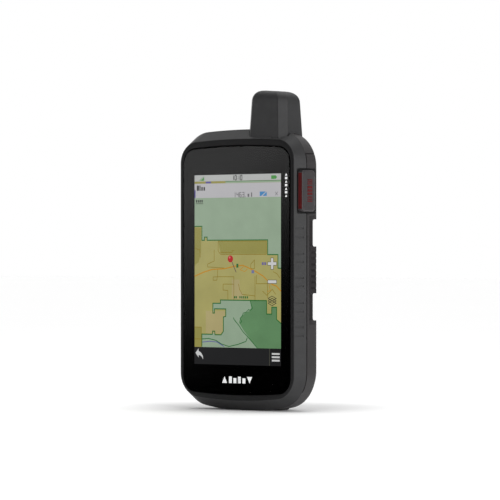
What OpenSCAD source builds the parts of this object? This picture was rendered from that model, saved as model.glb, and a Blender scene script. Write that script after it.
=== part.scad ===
// Rugged handheld satellite navigator with a tall touch screen, a stub antenna, a capped emergency
// key, a sprung power key, a weather cap over the data port and a lift-off battery pack.
// Millimetres. X to the user's right, front faces -Y, Z up, origin under the middle of the base.

/* [Body] */
// Half width at the seam between the two housings
seam_half = 46.1; // [40:0.1:50]
// Height of the top arch at the seam
seam_top = 160.1; // [140:0.1:180]
// Half width of the ridge round the glass
ridge_half = 42.6; // [38:0.1:46]
// Lowest point of the ridge
ridge_low = 5.7; // [3:0.1:10]
// Highest point of the ridge
ridge_top = 154.4; // [140:0.1:170]
// Depth position of the ridge
ridge_y = -16; // [-18:0.1:-14]
// Depth position of the seam
seam_y = -9.2; // [-11:0.1:-7]
// Depth position of the rear edge of the side rail
rail_y = 1.1; // [0:0.1:2]
// Half width at the rear edge of the side rail
rail_half = 45.3; // [42:0.1:46]
// Depth position of the back face beside the battery
back_y = 2.6; // [2:0.1:4]
// Half width of the back face
back_half = 43; // [40:0.1:44]
// Half width of the hollow inside
hollow_half = 39.8; // [38:0.1:41]

/* [Display] */
// Half width of the cover glass
glass_half = 40.3; // [38:0.1:42]
// Lower end of the cover glass
glass_low = 8.8; // [7:0.1:12]
// Upper end of the cover glass
glass_top = 150.8; // [145:0.1:152]
// Depth position of the glass front
glass_y = -16.5; // [-17:0.1:-16]
// Half width of the lit picture
picture_half = 32.6; // [30:0.1:34]
// Lower end of the lit picture
picture_low = 25.8; // [20:0.1:30]
// Upper end of the lit picture
picture_top = 134.3; // [130:0.1:140]

/* [Antenna] */
// Left side of the antenna block at its foot
antenna_left = 4.6; // [3:0.1:8]
// Right side of the antenna block at its foot
antenna_right = 33.5; // [30:0.1:36]
// Front of the antenna block at its foot
antenna_front = -14.5; // [-15:0.1:-13]
// Back of the antenna block at its foot
antenna_back = 6.8; // [1:0.1:8]
// Width of the corner facets
antenna_facet = 4; // [2:0.1:6]
// Top of the whole object
antenna_top = 182; // [175:0.1:190]
// How far each side leans in by the top
antenna_taper = 1.45; // [0:0.05:3]

/* [Side] */
// Depth of the cradle notches
notch_depth = 5.1; // [2:0.1:6]
// Lower ends of the two cradle notches
notch_low = [51.5, 93.2]; // [0:0.1:120]
// Height of a cradle notch
notch_height = 15.3; // [10:0.1:20]
// Heights of the grip grooves
groove_z = [43, 47.8, 56.6, 61.4, 70.8, 75.5, 84.4, 89, 98.3, 103.3]; // [0:0.1:160]
// Lower end of the emergency cap
sos_low = 112.7; // [100:0.1:120]
// Upper end of the emergency cap
sos_top = 136; // [130:0.1:140]
// Outer face of the emergency cap
sos_face = 47.4; // [46:0.1:48]

/* [Battery] */
// Half width of the battery pack at its foot
pack_half = 35; // [30:0.1:37]
// Lower end of the battery pack
pack_low = 12; // [8:0.1:20]
// Upper end of the battery pack
pack_top = 126; // [110:0.1:128]
// Back of the battery pack
pack_back = 16.5; // [12:0.1:18]
// Height of the quarter-turn latch
latch_z = 30; // [20:0.1:30]

/* [Hidden] */
$fn = 48;
arch_steps = 7;
corner_steps = 10;
shelf_z = 152.3;
bay_floor = 0.6;
hollow_y = -1.6;
board_y = -8.4;
screw_z = [24, 80, 143];
screw_x = 38.4;
post_z = [13, 146];
post_x = 30;
pivot = [45.2, -2.2];
flap_pivot = [-44.2, 21.2];
ring_y = 15.4;

// Which piece to draw

// Points of an arc, without its first point when skip is 1
function arc(cx, cz, r, a0, a1, steps, skip) =
  [for (i = [skip : steps]) let (a = a0 + (a1 - a0) * i / steps) [cx + r * cos(a), cz + r * sin(a)]];

// Right half of a rounded shield: bottom arch, bottom corner, top corner, top arch
function right_side(half, low, top, low_r, top_r, low_arch, top_arch) =
  let (
    tx = half - top_r,
    tz = top - top_arch + sqrt(pow(top_arch - top_r, 2) - tx * tx),
    ta = atan2(tz - top + top_arch, tx),
    lx = half - low_r,
    lz = low + low_arch - sqrt(pow(low_arch - low_r, 2) - lx * lx),
    la = atan2(lz - low - low_arch, lx)
  )
  concat(
    arc(0, low + low_arch, low_arch, -90, la, arch_steps, 0),
    arc(lx, lz, low_r, la, 0, corner_steps, 1),
    arc(tx, tz, top_r, 0, ta, corner_steps, 0),
    arc(0, top - top_arch, top_arch, ta, 90, arch_steps, 1)
  );

// The whole shield
function shield(half, low, top, low_r, top_r, low_arch = 200, top_arch = 450) =
  let (right = right_side(half, low, top, low_r, top_r, low_arch, top_arch), n = len(right))
  concat(
    right,
    [for (i = [n - 2 : -1 : 1]) [-right[i][0], right[i][1]]]
  );

function at_depth(points, y) = [for (p = points) [p[0], y, p[1]]];

// Skin over rings that run anticlockwise as seen from outside the first one
module loft(rings) {
  n = len(rings[0]);
  last = (len(rings) - 1) * n;
  polyhedron(
    points = [for (r = rings) each r],
    faces = concat(
      [[for (i = [n - 1 : -1 : 0]) i]],
      [for (j = [0 : len(rings) - 2]) for (i = [0 : n - 1])
        [j * n + i, j * n + (i + 1) % n, (j + 1) * n + (i + 1) % n, (j + 1) * n + i]],
      [[for (i = [0 : n - 1]) last + i]]
    )
  );
}

// A flat shape in X and Z, thick from y0 to y1
module plate(y0, y1) {
  translate([0, y1, 0]) rotate([90, 0, 0]) linear_extrude(height = y1 - y0) children();
}

module block(x0, x1, y0, y1, z0, z1) {
  translate([x0, y0, z0]) cube([x1 - x0, y1 - y0, z1 - z0]);
}

module rod_y(x, z, r, y0, y1) {
  translate([x, y1, z]) rotate([90, 0, 0]) cylinder(r = r, h = y1 - y0);
}

module rod_x(y, z, r, x0, x1) {
  translate([x0, y, z]) rotate([0, 90, 0]) cylinder(r = r, h = x1 - x0);
}

module rod_z(x, y, r, z0, z1) {
  translate([x, y, z0]) cylinder(r = r, h = z1 - z0);
}

module both_sides() {
  children();
  mirror([1, 0, 0]) children();
}

seam_shape = shield(seam_half, -0.5, seam_top, 20, 20, 170);
rail_shape = shield(rail_half, -0.5, seam_top - 1.6, 22, 19.5, 160);
back_shape = shield(back_half, -0.5, seam_top - 3.6, 20, 18, 160);
glass_shape = shield(glass_half, glass_low, glass_top, 9, 9, 420, 450);
hollow_shape = shield(hollow_half, 4.4, 150, 12, 12, 300, 900);

// What lies under the flat base
module under_base() {
  block(-60, 60, -30, 30, -10, 0);
}

module front_shell() {
  difference() {
    loft([
      at_depth(shield(ridge_half - 1.2, ridge_low + 1.2, ridge_top - 1.2, 12.4, 10.8, 300), ridge_y - 0.4),
      at_depth(shield(ridge_half, ridge_low, ridge_top, 13.5, 12, 300), ridge_y),
      at_depth(seam_shape, seam_y),
    ]);
    under_base();
  }
}

module rear_shell() {
  difference() {
    loft([at_depth(seam_shape, seam_y), at_depth(rail_shape, rail_y), at_depth(back_shape, back_y)]);
    under_base();
  }
}

// One octagonal level of the antenna block
function antenna_level(z, inset) =
  let (
    c = antenna_facet,
    l = antenna_left + inset,
    r = antenna_right - inset,
    f = antenna_front + inset,
    b = antenna_back - inset
  )
  [
    [l, f + c, z], [l, b - c, z], [l + c, b, z], [r - c, b, z],
    [r, b - c, z], [r, f + c, z], [r - c, f, z], [l + c, f, z],
  ];

function lean(z) = antenna_taper * (z - shelf_z) / (antenna_top - shelf_z);

module antenna_pocket(gap) {
  loft([antenna_level(shelf_z, -gap), antenna_level(antenna_top, antenna_taper - gap)]);
}

// Hollow trench beside the antenna's outer foot
module antenna_trench() {
  intersection() {
    loft([antenna_level(154.2, -1.5), antenna_level(antenna_top, -2.6)]);
    block(24, 60, -30, -4, 150, 190);
  }
}

module sos_block(grow) {
  block(hollow_half - grow, 60, -14.4 - grow, -0.3 + grow, 111.6 - grow, 137.1 + grow);
}

module front_housing() {
  color([0.12, 0.12, 0.13])
  difference() {
    front_shell();
    plate(-20, -15) polygon(shield(glass_half + 0.06, glass_low - 0.06, glass_top + 0.06, 9, 9, 420, 450));
    block(-34.6, 34.6, -16, -12, 19.2, 140.8);
    difference() {
      plate(-13.2, seam_y + 1) polygon(hollow_shape);
      front_bosses();
    }
    antenna_pocket(0.05);
    antenna_trench();
    sos_block(0);
    grip_grooves();
    seal_groove(seam_y - 0.7, 0);
    both_sides() for (z = screw_z) rod_y(screw_x, z, 0.95, -12.4, -5);
  }
}

module front_bosses() {
  both_sides() for (z = screw_z) rod_y(screw_x, z, 2.4, -14, seam_y);
}

module grip_grooves() {
  both_sides()
  for (z = groove_z)
    translate([43.0, -15.2, z - 0.5])
    rotate([0, 0, -atan((seam_half - ridge_half) / (seam_y - ridge_y))])
    translate([-0.5, 0, 0]) cube([2, 5.3, 1]);
}

module cradle_notches() {
  both_sides()
  for (z = notch_low)
    difference() {
      block(seam_half - notch_depth, 60, -6.3, 10, z, z + notch_height);
      block(seam_half - notch_depth - 1, 60, -6.4, -5.4, z - 1, z + 0.8);
    }
}

// Fine ribs on the rail between the notches, and the lines that frame the rail
module rail_serrations() {
  both_sides() {
    for (i = [0 : 6]) block(rail_half + 0.05, 60, -4.4, 3, 69.2 + i * 3.3, 70.4 + i * 3.3);
    block(seam_half - 0.7, 60, -6.3, -5.8, 60, 100);
    block(seam_half - 0.4, 60, seam_y, seam_y + 0.4, 14, 139);
  }
}

module rear_housing() {
  color([0.13, 0.13, 0.14])
  difference() {
    union() {
      rear_shell();
      upper_hump();
      heel();
    }
    rear_hollow();
    // bay for the battery pack
    plate(bay_floor, 30) polygon(shield(pack_half + 0.3, pack_low - 0.3, pack_top + 0.3, 8.3, 8.3, 2000, 2000));
    antenna_pocket(0.05);
    sos_block(0);
    cradle_notches();
    rail_serrations();
    // speaker chamber and its grille
    block(-24, -4, -3, 7.5, 132.5, 148.5);
    for (i = [0 : 4]) block(-20, -8, 5, 12, 134.8 + i * 2.6, 136.0 + i * 2.6);
    // latch seat
    rod_y(0, latch_z, 3.6, -4.1, 3);
    // window for the spring contacts and for the memory card
    block(-11.1, 11.1, -3, 3, 43.9, 50.1);
    block(8.9, 24.1, -3, 3, 63.9, 83.1);
    // power key slot
    block(-60, -35, -7.08, -2.92, 117.92, 132.08);
    // data port pocket and opening
    block(-60, -43, -8.4, -2.2, 20, 42);
    block(-50, -38, -7.3, -4.3, 27.9, 36.4);
    both_sides() for (z = screw_z) {
      rod_y(screw_x, z, 1.15, -20, 5);
      rod_y(screw_x, z, 2.2, 1.2, 5);
    }
    both_sides() for (z = post_z) rod_y(post_x, z, 0.8, -20, -3);
    // coax way up into the antenna block
    block(15, 23, -7, -3, 148, 154);
    // dock contact seats
    for (i = [-2 : 2]) block(i * 6 - 1.5, i * 6 + 1.5, 9.2, 12, 5.4, 8.6);
    // membrane seat over the grille chamber
    rod_y(-28, 140, 2.6, -2.2, -1);
    block(-28.6, -27.4, -3, 12, 138.6, 141.4);
  }
}

module rear_hollow() {
  difference() {
    plate(-20, hollow_y) polygon(hollow_shape);
    both_sides() for (z = screw_z) rod_y(screw_x, z, 2.4, seam_y, 0);
    both_sides() for (z = post_z) rod_y(post_x, z, 2.2, board_y + 1.2, 0);
    rod_y(0, latch_z, 5.4, -5.8, 0);
  }
}

// Raised part of the back above the battery pack
module upper_hump() {
  loft([
    at_depth(shield(34, 129, 152.3, 5, 5, 2000, 2000), 0),
    at_depth(shield(34, 129, 152.3, 5, 5, 2000, 2000), 6.5),
    at_depth(shield(32, 130.4, 150, 4, 4, 2000, 2000), 9.6),
  ]);
}

// Foot behind the battery pack's lower end
module heel() {
  translate([-18, 0, 0])
  rotate([90, 0, 90])
  linear_extrude(height = 36)
  polygon([[0, 0], [9, 0], [10.4, 1.4], [10.4, 10], [9, 11.4], [0, 11.4]]);
}

module lens_glass() {
  color([0.03, 0.03, 0.04, 0.6])
  plate(glass_y, -15.4) polygon(glass_shape);
}

module picture_window(y0, y1) {
  block(-picture_half, picture_half, y0, y1, picture_low, picture_top);
}

module lens_mask() {
  color([0.02, 0.02, 0.02])
  difference() {
    plate(-15.4, -15.3) polygon(glass_shape);
    picture_window(-16, -15);
  }
}

module lens_gasket() {
  color([0.05, 0.05, 0.05])
  difference() {
    plate(-15.3, -15) polygon(glass_shape);
    block(-34.6, 34.6, -16, -12, 19.2, 140.8);
  }
}

module touch_sensor() {
  color([0.6, 0.7, 0.72])
  block(-34.2, 34.2, -15.3, -14.8, 19.8, 140.2);
}

module lcd_panel() {
  color([0.35, 0.5, 0.38])
  block(-33.6, 33.6, -14.8, -13, 21.4, 139);
}

module backlight_unit() {
  color([0.9, 0.9, 0.88])
  block(-33.6, 33.6, -13, -11.6, 21.4, 139);
}

module display_frame() {
  color([0.7, 0.71, 0.73])
  difference() {
    block(-34.3, 34.3, -14.2, -10.9, 20.6, 139.8);
    block(-33.6, 33.6, -15, -11.6, 21.4, 139);
    block(-12, 12, -15, -11.6, 19, 23);
    for (z = [45, 80, 115]) block(-20, 20, -12, -10, z - 9, z + 9);
  }
}

module display_flex() {
  color([0.75, 0.42, 0.12])
  translate([-9, 0, 0])
  rotate([90, 0, 90])
  linear_extrude(height = 18)
  polygon([
    [-14.1, 21.4], [-14.1, 19.5], [-9.2, 19.5], [-9.2, 27], [-8.4, 27], [-8.4, 31],
    [-9.4, 31], [-9.4, 27.2], [-9.5, 27.2], [-9.5, 19.8], [-13.8, 19.8], [-13.8, 21.4],
  ]);
}

// Channel for the seal round the hollow, and the seal itself
module seal_groove(y0, y1) {
  difference() {
    plate(y0, y1) polygon(shield(hollow_half + 2, 2.4, 152, 14, 14, 300, 900));
    plate(y0 - 1, y1 + 1) polygon(shield(hollow_half + 1.1, 3.3, 151.1, 13.1, 13.1, 300, 900));
  }
}

module housing_seal() {
  color([0.55, 0.2, 0.12])
  difference() {
    seal_groove(seam_y - 0.7, seam_y);
    sos_block(0);
  }
}

module main_board() {
  color([0.05, 0.3, 0.16])
  difference() {
    plate(board_y, board_y + 1.2) polygon(shield(35.6, 8, 149, 8, 12, 2000, 2000));
    both_sides() for (z = post_z) rod_y(post_x, z, 1.1, -20, 0);
    both_sides() for (z = screw_z) rod_y(screw_x, z, 3, -20, 0);
  }
}

module processor_chips() {
  color([0.08, 0.08, 0.09])
  for (c = [[-28, 53, 14, 14], [-6, 53, 9, 9], [-26, 71, 8, 8], [-12, 70, 10, 6], [14, 92, 12, 12], [-2, 128, 7, 7]])
    block(c[0], c[0] + c[2], board_y + 1.2, board_y + 2.3, c[1], c[1] + c[3]);
}

module shield_cans() {
  color([0.78, 0.79, 0.8])
  for (c = [[-30, 86, 30, 26], [4, 106, 26, 20], [-30, 116, 22, 12]])
    difference() {
      block(c[0], c[0] + c[2], board_y + 1.2, board_y + 3.6, c[1], c[1] + c[3]);
      block(c[0] + 0.3, c[0] + c[2] - 0.3, board_y + 1, board_y + 3.3, c[1] + 0.3, c[1] + c[3] - 0.3);
    }
}

// A pan screw pointing to -Y, with a cross recess
module screw(x, z, head_y, head_r, head_h, shank_r, length) {
  difference() {
    union() {
      rod_y(x, z, head_r, head_y - head_h, head_y);
      rod_y(x, z, shank_r, head_y - head_h - length, head_y - head_h);
    }
    block(x - head_r * 0.55, x + head_r * 0.55, head_y - 0.7, head_y + 1, z - 0.25, z + 0.25);
    block(x - 0.25, x + 0.25, head_y - 0.7, head_y + 1, z - head_r * 0.55, z + head_r * 0.55);
  }
}

module board_screws() {
  color([0.75, 0.75, 0.78])
  both_sides() for (z = post_z)
    translate([0, 2 * board_y, 0]) mirror([0, 1, 0]) screw(post_x, z, board_y + 1, 1.8, 1, 0.8, 4.6);
}

module housing_screws() {
  color([0.3, 0.3, 0.32])
  both_sides() for (z = screw_z) screw(screw_x, z, 2.4, 2, 1.2, 0.95, 13.4);
}

module antenna_cover() {
  color([0.14, 0.14, 0.15])
  difference() {
    loft([
      antenna_level(shelf_z + 0.8, lean(shelf_z + 0.8)), antenna_level(178.2, lean(178.2)),
      antenna_level(180.9, lean(180.9) + 1.1), antenna_level(antenna_top, antenna_taper + 3.4),
    ]);
    loft([antenna_level(150, 2), antenna_level(178, lean(178) + 2)]);
  }
}

module antenna_seal() {
  color([0.55, 0.2, 0.12])
  difference() {
    loft([antenna_level(shelf_z, 0.05), antenna_level(shelf_z + 0.8, 0.05)]);
    loft([antenna_level(150, 1.8), antenna_level(156, 1.8)]);
  }
}

module antenna_board() {
  color([0.05, 0.3, 0.16])
  translate([0, 0, shelf_z + 0.4])
  linear_extrude(height = 1.2)
  polygon([for (p = antenna_level(0, 2.7)) [p[0], p[1]]]);
}

// A ceramic former with four copper strips wound as straight bars
module helix(x, r, top) {
  rod_z(x, -6, r, shelf_z + 1.6, top);
  for (a = [45 : 90 : 315])
    translate([x, -6, shelf_z + 2.6]) rotate([0, 0, a]) translate([r - 0.2, -0.7, 0]) cube([0.4, 1.4, top - shelf_z - 4]);
}

module gnss_helix() {
  color([0.85, 0.83, 0.76])
  helix(14, 4.2, 171);
}

module satcom_helix() {
  color([0.82, 0.8, 0.72])
  helix(24, 4.6, 174);
}

module antenna_coax() {
  color([0.2, 0.2, 0.2])
  for (x = [17, 21]) {
    rod_z(x, -5, 0.6, 144, shelf_z + 0.4);
    block(x - 1.2, x + 1.2, board_y + 1.2, -4.4, 142, 144);
  }
}

module speaker() {
  color([0.2, 0.2, 0.22])
  difference() {
    block(-23.8, -4.2, -3.4, 4.4, 132.7, 148.3);
    block(-22, -6, 2.6, 5, 134.5, 146.5);
  }
}

module vent_membrane() {
  color([0.9, 0.9, 0.88])
  rod_y(-28, 140, 2.5, -2, -1.6);
}

module vibration_motor() {
  color([0.7, 0.7, 0.72])
  rod_x(-4.6, 16, 2.4, -22, -12);
}

module sos_pod() {
  color([0.1, 0.1, 0.11])
  difference() {
    union() {
      intersection() {
        front_shell();
        block(hollow_half, 60, -14.35, seam_y, 111.65, 137.05);
      }
      intersection() {
        rear_shell();
        block(hollow_half, 60, seam_y, -0.35, 111.65, 137.05);
      }
      for (z = [[112.4, 115.9], [132.8, 136.3]]) {
        rod_z(pivot[0], pivot[1], 1, z[0], z[1]);
        block(43, pivot[0], -1.3, -0.6, z[0], z[1]);
      }
    }
    block(43.5, 60, -14.4, -3.05, sos_low - 0.2, sos_top + 0.2);
    difference() {
      block(43.7, 60, -3.1, -0.95, sos_low - 0.2, sos_top + 0.2);
      for (z = [[112.4, 115.9], [132.8, 136.3]]) rod_z(pivot[0], pivot[1], 1, z[0], z[1]);
    }
    rod_z(pivot[0], pivot[1], 0.5, 112.9, 135.8);
    rod_x(-7, (sos_low + sos_top) / 2, 1.15, 30, 50);
  }
}

module sos_hinge_pin() {
  color([0.75, 0.75, 0.78])
  rod_z(pivot[0], pivot[1], 0.5, 112.9, 135.8);
}

module sos_cap() {
  color([0.15, 0.15, 0.16])
  difference() {
    union() {
      translate([0, 0, sos_low])
      linear_extrude(height = sos_top - sos_low)
      polygon([[43.7, -14], [46.9, -14], [sos_face, -12.2], [sos_face, -3.8], [46.8, -3.2], [43.7, -3.2]]);
      rod_z(pivot[0], pivot[1], 1, 116, 132.7);
      block(44.2, 46.2, -3.4, pivot[1], 116, 132.7);
    }
    block(43, 45.7, -12.9, -4.2, sos_low + 1.2, sos_top - 1.2);
    rod_z(pivot[0], pivot[1], 0.54, 110, 140);
    block(44.1, 46.8, -15, -13.85, sos_low + 1.4, sos_top - 1.4);
  }
}

// Inlaid red stripe and a raised three-short three-long three-short code
module sos_cap_marks() {
  color([0.55, 0.08, 0.08])
  union() {
    block(44.1, 46.8, -14.05, -13.85, sos_low + 1.4, sos_top - 1.4);
    for (i = [0 : 8]) {
      row = floor(i / 3);
      low = sos_low + 5.5 + [0, 3.8, 9.7][row] + (i % 3) * [1.15, 1.85, 1.15][row];
      block(sos_face, sos_face + 0.15, -9.8, -5.6, low, low + (row == 1 ? 1.4 : 0.7));
    }
  }
}

module sos_button() {
  color([0.6, 0.08, 0.08])
  union() {
    block(44.35, 45.3, -11.5, -6, 118, 130.7);
    rod_x(-7, (sos_low + sos_top) / 2, 1.1, 38.6, 44.4);
  }
}

module sos_switch() {
  color([0.75, 0.75, 0.76])
  union() {
    block(32.4, 36.8, board_y + 1.2, -4.2, 120.8, 127.9);
    block(36.8, 37.6, -6.9, -5.3, 122.9, 125.8);
  }
}

module power_button() {
  color([0.16, 0.16, 0.17])
  union() {
    block(-46.2, -39.6, -7, -3, 118, 132);
    block(-39.6, -38.8, -7.8, -2.4, 117, 133);
  }
}

module power_switch() {
  color([0.75, 0.75, 0.76])
  union() {
    block(-36.8, -32.4, board_y + 1.2, -3.8, 121.4, 128.6);
    block(-37.6, -36.8, -6.6, -5, 123.6, 126.4);
  }
}

module usb_port() {
  color([0.72, 0.73, 0.75])
  difference() {
    block(-41.5, -33.8, board_y + 1.2, -4.4, 28, 36.2);
    block(-42, -35, board_y + 1.5, -4.7, 28.4, 35.8);
  }
}

module usb_cap() {
  color([0.1, 0.1, 0.1])
  union() {
    block(-45.15, -43.25, -8.2, -2.4, flap_pivot[1], 41.7);
    translate([flap_pivot[0], -2.4, flap_pivot[1]]) rotate([90, 0, 0]) cylinder(r = 0.95, h = 5.8);
    block(-43.3, -41.8, -6.9, -4.7, 28.6, 35.4);
  }
}

module contact_block() {
  color([0.1, 0.1, 0.1])
  difference() {
    block(-11, 11, board_y + 1.2, 0.4, 44, 50);
    for (i = [0 : 3]) rod_y(-7.5 + i * 5, 47, 0.8, -8, 2);
  }
}

module contact_pins() {
  color([0.9, 0.72, 0.3])
  for (i = [0 : 3]) rod_y(-7.5 + i * 5, 47, 0.8, board_y + 1.2, 1.2);
}

module dock_contacts() {
  color([0.9, 0.72, 0.3])
  for (i = [-2 : 2]) block(i * 6 - 1.5, i * 6 + 1.5, 9.2, 10.2, 5.4, 8.6);
}

module card_holder() {
  color([0.7, 0.71, 0.73])
  difference() {
    block(9, 24, board_y + 1.2, -0.2, 64, 83);
    block(10.9, 22.1, -2.1, -1.2, 63, 80.1);
    block(12, 21, -1.5, 1, 66, 78);
  }
}

module memory_card() {
  color([0.05, 0.05, 0.06])
  block(11, 22, -2, -1.3, 65, 80);
}

pack_shape = shield(pack_half, pack_low, pack_top, 8, 8, 2000, 2000);

module pack_hull() {
  loft([
    at_depth(pack_shape, 0.8),
    at_depth(pack_shape, 8.5),
    at_depth(shield(29.6, pack_low + 5.4, pack_top - 5.4, 6, 6, 2000, 2000), 15.8),
    at_depth(shield(28.6, pack_low + 6.4, pack_top - 6.4, 5, 5, 2000, 2000), pack_back),
  ]);
}

module pack_hollow() {
  difference() {
    loft([
      at_depth(shield(pack_half - 2, pack_low + 2, pack_top - 2, 6, 6, 2000, 2000), 0),
      at_depth(shield(pack_half - 2, pack_low + 2, pack_top - 2, 6, 6, 2000, 2000), 8),
      at_depth(shield(28.8, pack_low + 6.6, pack_top - 6.6, 5, 5, 2000, 2000), 14.3),
    ]);
    rod_y(0, latch_z, 5, -1, 20);
    rod_y(0, latch_z, 11.6, 11.2, 20);
  }
}

module battery_cover() {
  color([0.12, 0.12, 0.13])
  difference() {
    pack_hull();
    pack_hollow();
    plate(0, 2.2) polygon(shield(pack_half - 1, pack_low + 1, pack_top - 1, 7, 7, 2000, 2000));
    rod_y(0, latch_z, 2.55, -5, 30);
    rod_y(0, latch_z, 9.6, 12.7, 30);
    rod_y(0, latch_z, 3.6, -5, 3.2);
    // grip ribs across the back
    for (i = [0 : 5]) block(-18, 18, pack_back - 0.7, 20, 96 + i * 3.6, 97.8 + i * 3.6);
    // seat for the blank rating label
    block(-20, 20, pack_back - 0.25, 20, 52, 80);
  }
}

module battery_lid() {
  color([0.16, 0.16, 0.17])
  difference() {
    plate(0.8, 2.2) polygon(shield(pack_half - 1.05, pack_low + 1.05, pack_top - 1.05, 7, 7, 2000, 2000));
    rod_y(0, latch_z, 3.6, -5, 5);
    block(-10.5, 10.5, 0, 3, 44.5, 49.5);
    plate(0, 1.2) seal_track(0);
  }
}

module seal_track(gap) {
  difference() {
    polygon(shield(pack_half - 2.4 - gap, pack_low + 2.4 + gap, pack_top - 2.4 - gap, 6, 6, 2000, 2000));
    polygon(shield(pack_half - 3.8 + gap, pack_low + 3.8 - gap, pack_top - 3.8 + gap, 5, 5, 2000, 2000));
  }
}

module battery_seal() {
  color([0.55, 0.2, 0.12])
  plate(0.62, 1.2) seal_track(0);
}

module battery_cells() {
  color([0.55, 0.6, 0.62])
  for (x = [-27.6, 0.6]) block(x, x + 27, 2.4, 12.4, 53, 118);
}

module battery_board() {
  color([0.05, 0.3, 0.16])
  block(-20, 20, 2.4, 3.4, 43.4, 50.6);
}

module battery_pads() {
  color([0.9, 0.72, 0.3])
  for (i = [0 : 3]) block(-9 + i * 5, -6 + i * 5, 1.3, 2.4, 45, 49);
}

module rating_label() {
  color([0.8, 0.8, 0.8])
  block(-19.9, 19.9, pack_back - 0.25, pack_back - 0.1, 52.1, 79.9);
}

module latch_barrel() {
  color([0.62, 0.63, 0.65])
  difference() {
    union() {
      rod_y(0, latch_z, 2.5, -2.6, 13);
      rod_y(0, latch_z, 7.6, 12.9, 14.4);
      block(-3.2, 3.2, -3.8, -2.4, latch_z - 1.1, latch_z + 1.1);
      for (s = [-1, 1]) block(s * 4.2 - 1, s * 4.2 + 1, 14.3, 16.2, latch_z - 1.6, latch_z + 1.6);
    }
    rod_x(ring_y, latch_z, 0.83, -10, 10);
    // groove for the o-ring
    difference() {
      rod_y(0, latch_z, 4, 9, 10);
      rod_y(0, latch_z, 2, 8, 11);
    }
  }
}

module latch_o_ring() {
  color([0.1, 0.1, 0.1])
  difference() {
    rod_y(0, latch_z, 2.5, 9.05, 9.95);
    rod_y(0, latch_z, 2, 8, 11);
  }
}

module d_ring() {
  color([0.75, 0.76, 0.78])
  union() {
    rod_x(ring_y, latch_z, 0.78, -7.6, 7.6);
    translate([0, ring_y, latch_z])
    rotate([90, 0, 0])
    rotate([0, 0, 180])
    rotate_extrude(angle = 180) translate([7.6, 0]) circle(r = 0.78);
    for (s = [-1, 1]) translate([s * 7.6, ring_y, latch_z]) sphere(r = 0.78);
  }
}

front_housing();
rear_housing();
lens_glass();
lens_mask();
lens_gasket();
touch_sensor();
lcd_panel();
backlight_unit();
display_frame();
display_flex();
housing_seal();
main_board();
processor_chips();
shield_cans();
board_screws();
housing_screws();
antenna_cover();
antenna_seal();
antenna_board();
gnss_helix();
satcom_helix();
antenna_coax();
speaker();
vent_membrane();
vibration_motor();
sos_pod();
sos_hinge_pin();
sos_cap();
sos_cap_marks();
sos_button();
sos_switch();
power_button();
power_switch();
usb_port();
usb_cap();
contact_block();
contact_pins();
dock_contacts();
card_holder();
memory_card();
battery_cover();
battery_lid();
battery_seal();
battery_cells();
battery_board();
battery_pads();
rating_label();
latch_barrel();
latch_o_ring();
d_ring();
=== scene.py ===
"""Looks of a rugged handheld satellite navigator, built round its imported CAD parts.

Lengths of the object are millimetres in the shared frame, and are turned into metres when a mesh is made.
The camera, the studio and the textures are in metres.
"""

import math

import bmesh
import bpy
from mathutils import Matrix, Vector


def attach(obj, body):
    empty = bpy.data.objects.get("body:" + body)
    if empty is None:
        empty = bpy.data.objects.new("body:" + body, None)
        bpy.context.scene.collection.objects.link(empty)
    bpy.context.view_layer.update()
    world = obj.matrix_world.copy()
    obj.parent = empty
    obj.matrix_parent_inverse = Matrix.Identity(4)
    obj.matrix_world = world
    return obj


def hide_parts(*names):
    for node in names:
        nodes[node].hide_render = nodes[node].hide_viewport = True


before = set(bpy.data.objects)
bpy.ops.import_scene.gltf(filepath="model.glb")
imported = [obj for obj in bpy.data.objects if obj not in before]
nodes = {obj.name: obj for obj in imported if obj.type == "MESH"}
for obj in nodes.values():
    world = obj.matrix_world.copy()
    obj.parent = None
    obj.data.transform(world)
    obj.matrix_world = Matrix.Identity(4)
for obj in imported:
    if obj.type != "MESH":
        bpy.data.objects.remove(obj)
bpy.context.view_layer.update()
MM = 0.001

# Places shared with the CAD source, in millimetres
RIDGE_Y = -16.0
SEAM_Y = -9.2
RAIL_Y = 1.1
BACK_Y = 2.6
SHELF_Z = 152.3
SEAM_HALF = 46.1
RIDGE_HALF = 42.6
RIM_EDGE_Y = -15.8
ANTENNA_TOP = 182.0
ANTENNA_LEAN = 1.45
PACK_HALF = 35.0
PACK_LOW = 12.0
PACK_TOP = 126.0
PACK_BACK = 16.5
LATCH_Z = 30.0
NOTCHES = [(51.5, 66.8), (93.2, 108.5)]
GROOVE_DEPTH = 0.4
GROOVE_HALF = 0.5
GROOVES = [43, 47.8, 56.6, 61.4, 70.8, 75.5, 84.4, 89, 98.3, 103.3]
SOS_LOW = 112.7
SOS_TOP = 136.0
SOS_FACE = 47.4
SOS_PIVOT = (45.2, -2.2)
GRIP_LOW = 49.2
GRIP_TOP = 110.4
LABEL_X = (-20, 20)
LABEL_Z = (52, 80)
PICTURE = (-32.6, 32.6, 25.8, 134.3)
STATUS_LOW = 130.7
STRIP_LOW = 129.4
PANEL_LOW = 121.2
TOOLBAR_TOP = 35.6


# Camera

AZIMUTH = math.radians(40.6)
DISTANCE = 1.865
EYE_HEIGHT = 0.0844
AIM_SIDE = -0.00272
AIM_HEIGHT = 0.0913


def make_camera():
    data = bpy.data.cameras.new("camera")
    data.lens = 234.4
    data.sensor_width = 36
    data.clip_end = 50
    camera = bpy.data.objects.new("camera", data)
    bpy.context.scene.collection.objects.link(camera)
    camera.location = (DISTANCE * math.sin(AZIMUTH), -DISTANCE * math.cos(AZIMUTH), EYE_HEIGHT)
    aim = Vector((AIM_SIDE * math.cos(AZIMUTH), AIM_SIDE * math.sin(AZIMUTH), AIM_HEIGHT))
    camera.rotation_mode = "QUATERNION"
    camera.rotation_quaternion = (aim - camera.location).to_track_quat("-Z", "Y")
    bpy.context.scene.camera = camera


make_camera()


# Materials


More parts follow.
